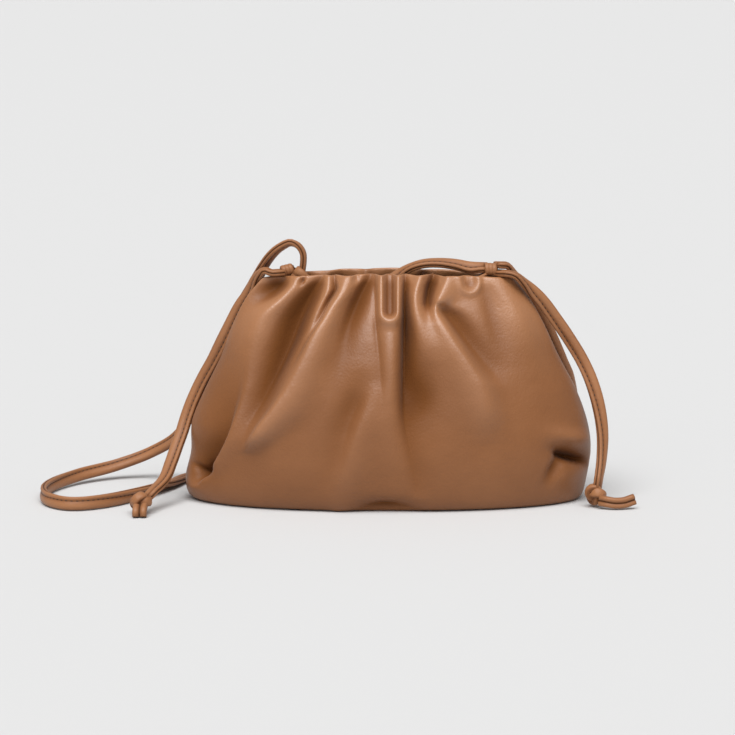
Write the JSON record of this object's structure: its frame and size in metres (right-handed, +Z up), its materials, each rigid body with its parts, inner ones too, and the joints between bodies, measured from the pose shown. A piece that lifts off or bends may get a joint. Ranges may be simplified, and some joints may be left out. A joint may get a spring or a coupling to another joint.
{
  "type": "drawstring pouch handbag",
  "caption": "Soft leather pouch handbag with a gathered drawstring mouth, a flat base and a long thin strap with knotted ends.",
  "frame": {"origin": "middle of the flat base, on the surface that the pouch stands on", "axes": "+X to the viewer's right across the front, +Y from the front panel to the back panel, +Z up"},
  "size_m": [0.3201, 0.122, 0.1414],
  "materials": {
    "pouch_leather": "smooth nappa with a soft sheen",
    "strap_leather": "smooth strap leather with a stitched edge"
  },
  "bodies": {
    "root": {"front_panel": "pouch_leather", "back_panel": "pouch_leather", "shoulder_strap": "strap_leather", "mouth_string": "strap_leather", "tail_left": "strap_leather", "tail_right": "strap_leather", "tip_left": "strap_leather", "tip_right": "strap_leather", "keeper_left": "strap_leather", "keeper_right": "strap_leather", "end_knot_left": "strap_leather", "end_knot_right": "strap_leather"}
  },
  "joints": []
}
